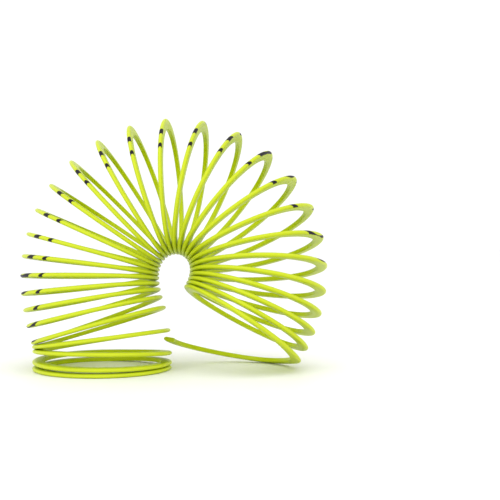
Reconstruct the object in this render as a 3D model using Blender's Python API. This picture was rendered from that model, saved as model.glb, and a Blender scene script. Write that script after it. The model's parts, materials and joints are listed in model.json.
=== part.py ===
"""A moulded plastic spring coil toy, bent over into an arch that stands on its two ends.

The toy is one left-handed coil of flat-sided wire. It bends only by twisting its wire, so the
coil is divided where the twist is allowed: at the back of its second turn, and then at the inner
and the outer end of every half turn. Each piece opens from the one before about the wire's own
line, and the two foot turns lie flat on the table.
"""
import math

import bpy
from mathutils import Matrix, Vector

TURNS = 29
COIL_RADIUS = 0.0309        # axis of the coil to the line about which the wire twists
PITCH = 0.00205             # one turn to the next while the coil is closed
WIRE_INWARD = 0.0034        # from the twist line to the bore of the coil
WIRE_OUTWARD = 0.0016       # from the twist line to the outside, on which the turns roll open
WIRE_THICKNESS = 0.00165    # along the coil's axis
WIRE_NOSE = 0.0007          # thickness left at the rounded outside of the wire
WIRE_SHOULDER = 0.0004      # from the twist line to where the wire starts to round over
CUT_GAP = 0.0003            # between the ends of neighbouring pieces
STEPS_PER_HALF_TURN = 14
SQUARE_END = 0.2            # of a step: a short stretch that cuts the wire square at its ends

FLAT_TURN = 0.75            # share of the first turn that lies flat on the table
LEAN_JUNCTION = 3.5         # half turns from the foot end to where the coil leans back
FIRST_HINGE = 5             # the first junction that opens sideways
LAST_HINGE = 2 * TURNS - 1
FIRST_ARCH_TURN = 4         # turns from the foot end to where the arch starts

LEAN = math.radians(4.5)            # the arch leans back over its foot
RING_SLANT = math.radians(4)        # each ring stands askew of the arch, as a coil's turns do
FOOT_TILTS = {5: math.radians(8), 7: math.radians(8.17)}    # outer junctions over the foot
FOOT_SPLAY = math.radians(2.9)      # outer junction of the arch's first turn
FOOT_SPLAY_TURNS = 1.7              # turns over which that dies away
FOOT_SPLAY_END = 4
ARCH_OPENING = math.radians(14.6)   # widest inner opening, near the top of the arch
ARCH_TOP_TURN = 13.5                # turns into the arch where it is widest
ARCH_SPREAD = 9.6                   # turns either side over which it closes
LAST_OPENING = math.radians(22)     # the last half turn drops back to the table

PLASTIC = (0.60, 0.80, 0.004, 1.0)
ROUGHNESS = 0.28


def coil_height(turn):
    """Height of the wire's middle above the table in the closed coil, which starts flat."""
    if turn >= 1:
        rise = turn
    else:
        rise = max(0.0, turn - FLAT_TURN) / (1 - FLAT_TURN)
    return WIRE_THICKNESS / 2 + PITCH * rise


def junction_frame(half_turns):
    """Place on the closed coil: +X away from the coil's axis, -Y along the wire, +Z up."""
    angle = math.pi * half_turns
    place = Vector((COIL_RADIUS * math.cos(angle), -COIL_RADIUS * math.sin(angle),
                    coil_height(half_turns / 2)))
    return Matrix.Translation(place) @ Matrix.Rotation(-angle, 4, "Z")


def opening(junction):
    """Angle by which the coil is opened at a junction, in the standing arch."""
    if junction == LEAN_JUNCTION:
        return LEAN
    if junction in FOOT_TILTS:
        return FOOT_TILTS[junction]
    if junction == LAST_HINGE:
        return LAST_OPENING
    turn = junction // 2 - FIRST_ARCH_TURN
    if junction % 2 or turn < 0:
        near_foot = junction % 2 and 0 <= turn < FOOT_SPLAY_END
        return FOOT_SPLAY * math.exp(-turn / FOOT_SPLAY_TURNS) if near_foot else 0.0
    if turn == 0:
        return 0.0
    bell = math.exp(-((turn - ARCH_TOP_TURN) / ARCH_SPREAD) ** 2)
    return ARCH_OPENING * bell + opening(junction - 1)


def hinge_axis(junction):
    """The wire's own line at a junction, slanted so that the rings stand askew of the arch."""
    if junction == LEAN_JUNCTION:
        return Vector((0, 1, 0))
    side = 1 if junction % 2 else -1
    return Vector((0, math.cos(RING_SLANT), side * math.sin(RING_SLANT)))


def wire_section():
    """Profile of the wire: flat above, below and in the bore, rounded over on the outside."""
    half = WIRE_THICKNESS / 2
    upper = [(-WIRE_INWARD, half), (WIRE_SHOULDER, half), (WIRE_OUTWARD, WIRE_NOSE / 2)]
    outline = upper + [(x, -z) for x, z in reversed(upper)]
    curve = bpy.data.curves.new("wire_section", "CURVE")
    curve.dimensions = "3D"
    spline = curve.splines.new("POLY")
    spline.points.add(len(outline) - 1)
    for point, (x, z) in zip(spline.points, reversed(outline)):
        point.co = (-x, z, 0, 1)
    spline.use_cyclic_u = True
    guide = bpy.data.objects.new("wire_section", curve)
    guide.hide_render = True
    guide.display_type = "WIRE"
    guides.objects.link(guide)
    return guide


def wire_curve(name, start, end):
    """The wire between two junctions of the closed coil, seen from the first junction's frame."""
    margin = CUT_GAP / 2 / (math.pi * COIL_RADIUS)
    first = start + margin if start > 0 else start
    last = end - margin if end < 2 * TURNS else end
    steps = round((end - start) * STEPS_PER_HALF_TURN)
    home = junction_frame(start).inverted()
    curve = bpy.data.curves.new(name, "CURVE")
    curve.dimensions = "3D"
    curve.twist_mode = "Z_UP"
    curve.bevel_mode = "OBJECT"
    curve.bevel_object = section
    curve.use_fill_caps = True
    spline = curve.splines.new("POLY")
    step = (last - first) / steps
    places = [first + step * number for number in range(steps + 1)]
    places.insert(1, first + step * SQUARE_END)
    places.insert(-1, last - step * SQUARE_END)
    spline.points.add(len(places) - 1)
    for point, place in zip(spline.points, places):
        point.co = (*(home @ junction_frame(place).translation), 1)
    curve.materials.append(plastic)
    return curve


def add_piece(name, curve, parent, place):
    piece = bpy.data.objects.new(name, curve)
    parts.objects.link(piece)
    piece.parent = parent
    piece.matrix_basis = place
    return piece


def hinged_place(before, junction):
    """A piece's place from the frame of the piece before it, opened at its own junction."""
    closed = junction_frame(before).inverted() @ junction_frame(junction)
    return closed @ Matrix.Rotation(opening(junction), 4, hinge_axis(junction))


for old in list(bpy.data.objects):
    bpy.data.objects.remove(old, do_unlink=True)

parts = bpy.data.collections.new("spring_coil_toy")
guides = bpy.data.collections.new("guides")
bpy.context.scene.collection.children.link(parts)
bpy.context.scene.collection.children.link(guides)

plastic = bpy.data.materials.new("lime_plastic")
plastic.use_nodes = True
shader = plastic.node_tree.nodes["Principled BSDF"]
shader.inputs["Base Color"].default_value = PLASTIC
shader.inputs["Roughness"].default_value = ROUGHNESS
shader.inputs["Metallic"].default_value = 0.0

section = wire_section()

foot = add_piece("foot_ring", wire_curve("foot_wire", 0, LEAN_JUNCTION), None, junction_frame(0))
lean_wire = wire_curve("lean_wire", LEAN_JUNCTION, FIRST_HINGE)
lean = add_piece("lean_ring", lean_wire, foot, hinged_place(0, LEAN_JUNCTION))

half_turn_wire = wire_curve("half_turn_wire", FIRST_HINGE, FIRST_HINGE + 1)
parent = lean
parent_junction = LEAN_JUNCTION
for junction in range(FIRST_HINGE, LAST_HINGE + 1):
    side = "back" if junction % 2 else "front"
    name = f"coil_{junction // 2 + 1:02d}_{side}"
    place = hinged_place(parent_junction, junction)
    parent = add_piece(name, half_turn_wire, parent, place)
    parent_junction = junction

# The origin is on the table under the middle of the standing arch.
depsgraph = bpy.context.evaluated_depsgraph_get()
points = [piece.matrix_world @ vertex.co for piece in parts.objects
          for vertex in piece.evaluated_get(depsgraph).to_mesh().vertices]
for axis in (0, 1):
    middle = (min(point[axis] for point in points) + max(point[axis] for point in points)) / 2
    foot.matrix_basis.translation[axis] -= middle
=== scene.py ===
import json
import math

import bmesh
import bpy
import numpy as np
from mathutils import Matrix, Vector


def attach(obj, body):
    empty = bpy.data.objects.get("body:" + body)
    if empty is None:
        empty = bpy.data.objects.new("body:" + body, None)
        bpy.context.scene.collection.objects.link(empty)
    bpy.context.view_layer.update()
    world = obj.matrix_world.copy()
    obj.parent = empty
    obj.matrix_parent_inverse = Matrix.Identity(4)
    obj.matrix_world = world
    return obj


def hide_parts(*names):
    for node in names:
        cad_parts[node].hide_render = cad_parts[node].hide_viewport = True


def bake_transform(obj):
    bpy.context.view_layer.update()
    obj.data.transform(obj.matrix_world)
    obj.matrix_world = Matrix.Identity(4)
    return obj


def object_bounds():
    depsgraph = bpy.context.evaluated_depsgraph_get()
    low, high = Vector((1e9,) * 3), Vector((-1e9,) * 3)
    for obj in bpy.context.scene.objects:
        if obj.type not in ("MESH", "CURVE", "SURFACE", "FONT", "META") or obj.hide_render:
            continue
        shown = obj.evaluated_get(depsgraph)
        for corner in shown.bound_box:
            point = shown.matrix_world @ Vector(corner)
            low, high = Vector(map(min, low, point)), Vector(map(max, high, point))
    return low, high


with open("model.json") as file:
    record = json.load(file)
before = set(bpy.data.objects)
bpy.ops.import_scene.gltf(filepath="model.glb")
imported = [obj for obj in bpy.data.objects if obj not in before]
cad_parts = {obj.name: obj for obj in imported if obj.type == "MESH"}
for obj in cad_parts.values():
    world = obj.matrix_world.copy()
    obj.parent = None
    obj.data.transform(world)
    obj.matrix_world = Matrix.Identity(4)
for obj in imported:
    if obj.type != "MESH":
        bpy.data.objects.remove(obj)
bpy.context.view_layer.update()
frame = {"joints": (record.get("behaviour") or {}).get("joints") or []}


# ---- The lime plastic and its print ----
# The whole toy is one strip of glossy lime plastic. Its rounded outside is painted a lighter
# lime, a painted glow that stands in for light shining through the thin plastic. After moulding,
# the closed coil is pad printed in black from one side, so the ink sits only on the rounded
# outside of the turns, and the print comes apart into dashes as the coil opens.
LIME = (0.530, 0.630, 0.003, 1)
LIME_DEEP = (0.470, 0.570, 0.002, 1)
# painted glow: a lighter lime standing in for light shining through the thin rounded outside
LIME_PAINTED_GLOW = (0.620, 0.710, 0.030, 1)
INK = (0.006, 0.004, 0.009, 1)
INK_WORN = (0.022, 0.018, 0.030, 1)
PITCH = 0.00205             # one turn to the next while the coil is closed
MIDDLE_HEIGHT = 0.000825    # of the flat first turn, above the table
PRINT_TURN = 14             # the middle of the print, in turns from the foot end
PRINT_SIDE = math.radians(24)   # from the outside of the arch round towards its front
PRINT_STRETCH = 1.15        # the print is drawn for a coil of a slightly wider pitch
INKED_FROM = 0.0006         # across the strip, from the twist line outwards
# where the painted glow for light through the thin plastic fades in across the strip
PAINTED_GLOW_FROM, PAINTED_GLOW_TO = 0.0004, 0.0016     # the rounded outside, also from the twist line
OUTER_RADIUS = 0.0216       # of the print: two plain rings, one inside the other
OUTER_WIDTH = 0.0017
INNER_RADIUS = 0.0144
INNER_WIDTH = 0.0032


def math_node(tree, operation, first, second=None):
    node = tree.nodes.new("ShaderNodeMath")
    node.operation = operation
    for socket, value in zip(node.inputs, (first, second)):
        if isinstance(value, bpy.types.NodeSocket):
            tree.links.new(value, socket)
        elif value is not None:
            socket.default_value = value
    return node.outputs[0]


def distance(tree, x, y):
    return math_node(tree, "SQRT", math_node(
        tree, "ADD", math_node(tree, "MULTIPLY", x, x), math_node(tree, "MULTIPLY", y, y)))


def within(tree, value, limit, soft=0.00012):
    """1 where the value is below the limit and 0 above it, with a short soft edge between."""
    node = tree.nodes.new("ShaderNodeMapRange")
    node.interpolation_type = "SMOOTHSTEP"
    tree.links.new(value, node.inputs["Value"])
    node.inputs["From Min"].default_value = limit - soft
    node.inputs["From Max"].default_value = limit + soft
    node.inputs["To Min"].default_value = 1
    node.inputs["To Max"].default_value = 0
    return node.outputs["Result"]


def attribute(tree, name):
    node = tree.nodes.new("ShaderNodeAttribute")
    node.attribute_name = name
    return node.outputs["Vector"]


def noise(tree, vector, scale, stretch, detail):
    spread = tree.nodes.new("ShaderNodeMapping")
    spread.inputs["Scale"].default_value = stretch
    tree.links.new(vector, spread.inputs["Vector"])
    node = tree.nodes.new("ShaderNodeTexNoise")
    node.inputs["Scale"].default_value = scale
    node.inputs["Detail"].default_value = detail
    tree.links.new(spread.outputs["Vector"], node.inputs["Vector"])
    return node.outputs["Fac"]


def mixed(tree, share, first, second):
    node = tree.nodes.new("ShaderNodeMix")
    node.data_type = "RGBA"
    tree.links.new(share, node.inputs["Factor"])
    for socket, value in ((node.inputs["A"], first), (node.inputs["B"], second)):
        if isinstance(value, bpy.types.NodeSocket):
            tree.links.new(value, socket)
        else:
            socket.default_value = value
    return node.outputs["Result"]


def ranged(tree, value, low, high, to_low, to_high):
    node = tree.nodes.new("ShaderNodeMapRange")
    tree.links.new(value, node.inputs["Value"])
    for name, number in (("From Min", low), ("From Max", high),
                         ("To Min", to_low), ("To Max", to_high)):
        node.inputs[name].default_value = number
    return node.outputs["Result"]


def print_mask(tree):
    """Where the ink is: two plain rings, as they lie on the closed coil."""
    turned = tree.nodes.new("ShaderNodeMapping")
    turned.inputs["Scale"].default_value = (1, 1, PRINT_STRETCH)
    middle = MIDDLE_HEIGHT + PRINT_TURN * PITCH
    turned.inputs["Location"].default_value = (0, 0, -middle * PRINT_STRETCH)
    turned.inputs["Rotation"].default_value = (0, 0, -PRINT_SIDE)
    tree.links.new(attribute(tree, "closed_coil"), turned.inputs["Vector"])
    parts = tree.nodes.new("ShaderNodeSeparateXYZ")
    tree.links.new(turned.outputs["Vector"], parts.inputs["Vector"])
    facing, side, height = parts.outputs
    from_middle = distance(tree, side, height)
    rings = []
    for radius, width in ((OUTER_RADIUS, OUTER_WIDTH), (INNER_RADIUS, INNER_WIDTH)):
        off_line = math_node(tree, "ABSOLUTE", math_node(tree, "SUBTRACT", from_middle, radius))
        rings.append(within(tree, off_line, width / 2))
    shapes = math_node(tree, "MAXIMUM", *rings)

    strip_parts = tree.nodes.new("ShaderNodeSeparateXYZ")
    tree.links.new(attribute(tree, "strip_place"), strip_parts.inputs["Vector"])
    ragged = noise(tree, attribute(tree, "strip_place"), 900, (1, 1, 1), 4.0)
    edge = ranged(tree, ragged, 0.3, 0.7, INKED_FROM - 0.0001, INKED_FROM + 0.0002)
    on_crest = math_node(tree, "GREATER_THAN", strip_parts.outputs["X"], edge)
    on_side = math_node(tree, "LESS_THAN", facing, 0.0)
    return math_node(tree, "MULTIPLY", shapes, math_node(tree, "MULTIPLY", on_crest, on_side))


lime_plastic = bpy.data.materials.new("lime_plastic")
lime_plastic.use_nodes = True
tree = lime_plastic.node_tree
shader = tree.nodes["Principled BSDF"]
strip_place = attribute(tree, "strip_place")
place_parts = tree.nodes.new("ShaderNodeSeparateXYZ")
tree.links.new(strip_place, place_parts.inputs["Vector"])
clouds = noise(tree, attribute(tree, "closed_coil"), 60, (1, 1, 2), 3.0)
flow = noise(tree, strip_place, 500, (1, 0.03, 1), 3.0)
pebble = noise(tree, strip_place, 2500, (1, 0.6, 1), 2.0)
body_colour = mixed(tree, ranged(tree, clouds, 0.35, 0.65, 0, 1), LIME_DEEP, LIME)
# Painted glow: the rounded outside is painted lighter, as light shining through the thin plastic
# would make it, broken up by the flow streaks.
painted_glow = ranged(tree, place_parts.outputs["X"], PAINTED_GLOW_FROM, PAINTED_GLOW_TO, 0, 1)
painted_glow = math_node(tree, "MULTIPLY", painted_glow, ranged(tree, flow, 0.2, 0.8, 0.55, 0.9))
body_colour = mixed(tree, painted_glow, body_colour, LIME_PAINTED_GLOW)
ink_share = print_mask(tree)
ink_colour = mixed(tree, ranged(tree, pebble, 0.45, 0.75, 0, 1), INK, INK_WORN)
tree.links.new(mixed(tree, ink_share, body_colour, ink_colour), shader.inputs["Base Color"])
gloss = ranged(tree, flow, 0.3, 0.7, 0.32, 0.44)
gloss = math_node(tree, "ADD", gloss, math_node(tree, "MULTIPLY", ink_share, 0.12))
tree.links.new(gloss, shader.inputs["Roughness"])
shader.inputs["IOR"].default_value = 1.49
shader.inputs["Specular IOR Level"].default_value = 0.18
relief = math_node(tree, "ADD", math_node(tree, "MULTIPLY", flow, 0.7),
                   math_node(tree, "MULTIPLY", pebble, 0.2))
relief = math_node(tree, "ADD", relief, math_node(tree, "MULTIPLY", ink_share, 0.5))
bump = tree.nodes.new("ShaderNodeBump")
bump.inputs["Strength"].default_value = 0.25
bump.inputs["Distance"].default_value = 0.00005
tree.links.new(relief, bump.inputs["Height"])
tree.links.new(bump.outputs["Normal"], shader.inputs["Normal"])


# ---- The two foot turns ----
# The first turns of the coil lie flat on the table and carry the arch. The strip is flat above,
# below and in the bore, and rounded over on the outside. Its end is trimmed and smoothed.
TWIST_RADIUS = 0.0309       # axis of the coil to the line about which the strip twists
FLAT_TURN = 0.75            # share of the first turn that lies flat
STRIP_INWARD = 0.0034       # from the twist line to the bore of the coil
STRIP_OUTWARD = 0.0016      # from the twist line to the outside
STRIP_THICKNESS = 0.0020    # leaves a fine groove between closed turns
ROUNDING = 0.49             # of the thickness: the outside is rounded from both faces
NOSE_STRETCH = 1.6          # the rounded outside is deeper than half a circle
BORE_EDGE = 0.00035         # rounding of the two edges in the bore
END_EDGE = 0.0006           # rounding of the trimmed ends
HALF_TURN = math.pi * TWIST_RADIUS
CUTS = 63                   # across each half turn of the strip
SMOOTHED_BELOW = math.radians(40)
FOOT_HALF_TURNS = 3
hinges = frame["joints"]
lean_hinge = Vector(hinges[0]["pos_m"])
foot_middle = Vector((lean_hinge.x, lean_hinge.y - TWIST_RADIUS, 0))


def straight_strip(name, half_turns, passes, trimmed=()):
    """A straight length of the strip along -Y with its outside towards +X, cut into short steps.
    Trimmed ends are rounded over: 0 is its start and 1 its end."""
    length = half_turns * HALF_TURN
    bpy.ops.object.select_all(action="DESELECT")
    bpy.ops.mesh.primitive_cube_add(
        size=1, location=((STRIP_OUTWARD - STRIP_INWARD) / 2, -length / 2, 0))
    strip = bpy.context.object
    strip.name = name
    strip.scale = (STRIP_OUTWARD + STRIP_INWARD, length, STRIP_THICKNESS)
    bpy.ops.object.transform_apply(location=True, rotation=False, scale=True)
    bpy.ops.object.mode_set(mode="EDIT")
    bpy.ops.mesh.select_mode(type="EDGE")

    def pick(test):
        bpy.ops.mesh.select_all(action="DESELECT")
        mesh = bmesh.from_edit_mesh(strip.data)
        for edge in mesh.edges:
            edge.select = test(*(vertex.co for vertex in edge.verts))
        bmesh.update_edit_mesh(strip.data)

    def lengthwise(start, end):
        return abs(start.y - end.y) > HALF_TURN / 4

    pick(lambda start, end: lengthwise(start, end) and start.x > 0)
    bpy.ops.mesh.bevel(offset=STRIP_THICKNESS * ROUNDING, segments=7, profile=0.5)
    pick(lambda start, end: min(start.x, end.x) > STRIP_OUTWARD - STRIP_THICKNESS / 2)
    bpy.ops.transform.resize(value=(NOSE_STRETCH, 1, 1), center_override=(STRIP_OUTWARD, 0, 0))
    pick(lambda start, end: lengthwise(start, end) and start.x < 1e-6 - STRIP_INWARD)
    bpy.ops.mesh.bevel(offset=BORE_EDGE, segments=3, profile=0.5)
    for end_share in trimmed:
        pick(lambda start, end: max(abs(start.y + end_share * length),
                                    abs(end.y + end_share * length)) < 1e-6)
        bpy.ops.mesh.bevel(offset=END_EDGE, segments=4, profile=0.5)
    for cuts in passes:
        pick(lengthwise)
        bpy.ops.mesh.subdivide(number_cuts=cuts)
    bpy.ops.object.mode_set(mode="OBJECT")
    bpy.ops.object.shade_smooth_by_angle(angle=SMOOTHED_BELOW)
    strip.data.materials.append(lime_plastic)
    return strip


def points_of(mesh):
    flat = np.zeros(len(mesh.vertices) * 3)
    mesh.vertices.foreach_get("co", flat)
    return flat.reshape(-1, 3)


def moved(points, matrix):
    matrix = np.array(matrix)
    return points @ matrix[:3, :3].T + matrix[:3, 3]


def wind(strip, first, standing):
    """Winds a straight strip onto the closed coil from a half turn on, and stands it up."""
    straight = points_of(strip.data)
    half_turns = first - straight[:, 1] / HALF_TURN
    turns = half_turns / 2
    rise = np.where(turns < 1, np.clip(turns - FLAT_TURN, 0, None) / (1 - FLAT_TURN), turns)
    radius = TWIST_RADIUS + straight[:, 0]
    closed = np.stack((radius * np.cos(math.pi * half_turns),
                       -radius * np.sin(math.pi * half_turns),
                       MIDDLE_HEIGHT + PITCH * rise + straight[:, 2]), axis=1)
    along = straight * (1, -1, 1) + (0, first * HALF_TURN, 0)
    for name, values in (("closed_coil", closed), ("strip_place", along)):
        stored = strip.data.attributes.new(name, "FLOAT_VECTOR", "POINT")
        stored.data.foreach_set("vector", values.ravel())
    strip.data.vertices.foreach_set("co", moved(closed + np.array(foot_middle), standing).ravel())
    strip.data.update()


foot_turns = straight_strip("foot_turns", FOOT_HALF_TURNS, (FOOT_HALF_TURNS - 1, CUTS), (0,))
wind(foot_turns, 0, Matrix.Identity(4))
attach(foot_turns, "foot_ring")
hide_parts("foot_ring")


# ---- The leaning turn ----
# At the back of its second turn the strip twists a few degrees, so that everything above leans
# back over the foot. One half turn carries the twist, and a short piece leads on to the arch.
BEND_REACH = 0.0273         # along the hinge either side: just inside the bore of the coil


def hinge_turn(hinge):
    """From the closed coil to the standing arch, about one hinge of the strip."""
    return math.radians(-hinge["range_deg"][0])


def turned(points, hinge, angles):
    """Points turned about a hinge, each by its own angle."""
    axis = np.array(hinge["axis"]) / np.linalg.norm(hinge["axis"])
    arm = points - np.array(hinge["pos_m"])
    cosine, sine = np.cos(angles)[:, None], np.sin(angles)[:, None]
    return (np.array(hinge["pos_m"]) + arm * cosine + np.cross(axis, arm) * sine
            + axis * (arm @ axis)[:, None] * (1 - cosine))


def bend_at(strip, hinge):
    """Twists a wound strip at its hinge, from no turn on the near side to the whole turn of the
    hinge on the far side.
    """
    place, axis = Vector(hinge["pos_m"]), Vector(hinge["axis"]).normalized()
    points = points_of(strip.data)
    share = np.clip((BEND_REACH - (points - np.array(place)) @ np.array(axis))
                    / (2 * BEND_REACH), 0, 1)
    share = share * share * (3 - 2 * share)
    strip.data.vertices.foreach_set(
        "co", turned(points, hinge, share * hinge_turn(hinge)).ravel())
    strip.data.update()
    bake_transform(strip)


def beyond(standing, hinge):
    """Where the coil stands past a hinge."""
    place = Matrix.Translation(Vector(hinge["pos_m"]))
    turn = Matrix.Rotation(hinge_turn(hinge), 4, Vector(hinge["axis"]))
    return place @ turn @ place.inverted() @ standing


lean = hinges[0]
leaning_half = straight_strip("leaning_half", 1, (CUTS,))
wind(leaning_half, FOOT_HALF_TURNS, Matrix.Identity(4))
bend_at(leaning_half, lean)

standing = beyond(Matrix.Identity(4), lean)
leaning_end = straight_strip("leaning_end", 0.5, (CUTS // 2,))
wind(leaning_end, FOOT_HALF_TURNS + 1, standing)
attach(leaning_end, "lean_ring")
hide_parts("lean_ring")


# ---- The turns of the arch ----
# From here the same strip fans open over the table and comes down on its other end. It opens by
# twisting at the inner and the outer end of every half turn, so each half turn here is centred
# on one of those places and carries the twist there, from the half turn before it to the one
# after.
half_turn = straight_strip("half_turn", 1, (CUTS,))
first = FOOT_HALF_TURNS + 1.5
for hinge in hinges[1:]:
    piece = half_turn.copy()
    piece.data = half_turn.data.copy()
    piece.name = hinge["child"].replace("coil", "turn")
    bpy.context.collection.objects.link(piece)
    wind(piece, first, standing)
    bend_at(piece, hinge)
    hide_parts(hinge["child"])
    standing = beyond(standing, hinge)
    first += 1
bpy.data.objects.remove(half_turn)


# ---- The free end ----
# The last quarter of a turn reaches under the arch and rests on the table. Its end is trimmed
# like the other one.
free_end = straight_strip("free_end", 0.5, (CUTS // 2,), (1,))
wind(free_end, first, standing)
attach(free_end, hinges[-1]["child"])


# ---- Table, light and camera ----
# A white table in a white room, a large soft light above and in front, and a smaller one from
# the left. The camera stands level with the middle of the arch and looks slightly down.
FLOOR_SIZE = 6
FLOOR = (0.95, 0.95, 0.95, 1)
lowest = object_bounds()[0]
bpy.ops.object.select_all(action="DESELECT")
bpy.ops.mesh.primitive_plane_add(size=FLOOR_SIZE, location=(0, 0, lowest.z))
floor = bpy.context.object
floor.name = "table_top"
white = bpy.data.materials.new("white_table")
white.use_nodes = True
white.node_tree.nodes["Principled BSDF"].inputs["Base Color"].default_value = FLOOR
white.node_tree.nodes["Principled BSDF"].inputs["Roughness"].default_value = 0.6
floor.data.materials.append(white)

world = bpy.data.worlds.new("white_room")
world.use_nodes = True
world.node_tree.nodes["Background"].inputs["Color"].default_value = (1, 1, 1, 1)
world.node_tree.nodes["Background"].inputs["Strength"].default_value = 1.08
bpy.context.scene.world = world
bpy.context.scene.view_settings.view_transform = "Standard"


def soft_light(name, place, size, power):
    light = bpy.data.lights.new(name, "AREA")
    light.shape = "DISK"
    light.size = size
    light.energy = power
    lamp = bpy.data.objects.new(name, light)
    lamp.location = place
    lamp.rotation_euler = (Vector((0, 0, 0.05)) - Vector(place)).to_track_quat(
        "-Z", "Y").to_euler()
    bpy.context.scene.collection.objects.link(lamp)


soft_light("overhead", (0.1, -0.25, 0.7), 0.5, 1.0)
soft_light("front_left", (-0.45, -0.6, 0.35), 0.35, 0.8)

CAMERA_PLACE = Vector((0.0693, -0.4884, 0.0669))     # from the middle of the foot turns
CAMERA_TILT = math.radians(1.3)
eye = bpy.data.cameras.new("camera")
eye.sensor_width = 36
eye.lens = 74.9
camera = bpy.data.objects.new("camera", eye)
camera.location = foot_middle + CAMERA_PLACE
camera.rotation_euler = (math.radians(90) - CAMERA_TILT, 0, 0)
bpy.context.scene.collection.objects.link(camera)
bpy.context.scene.camera = camera
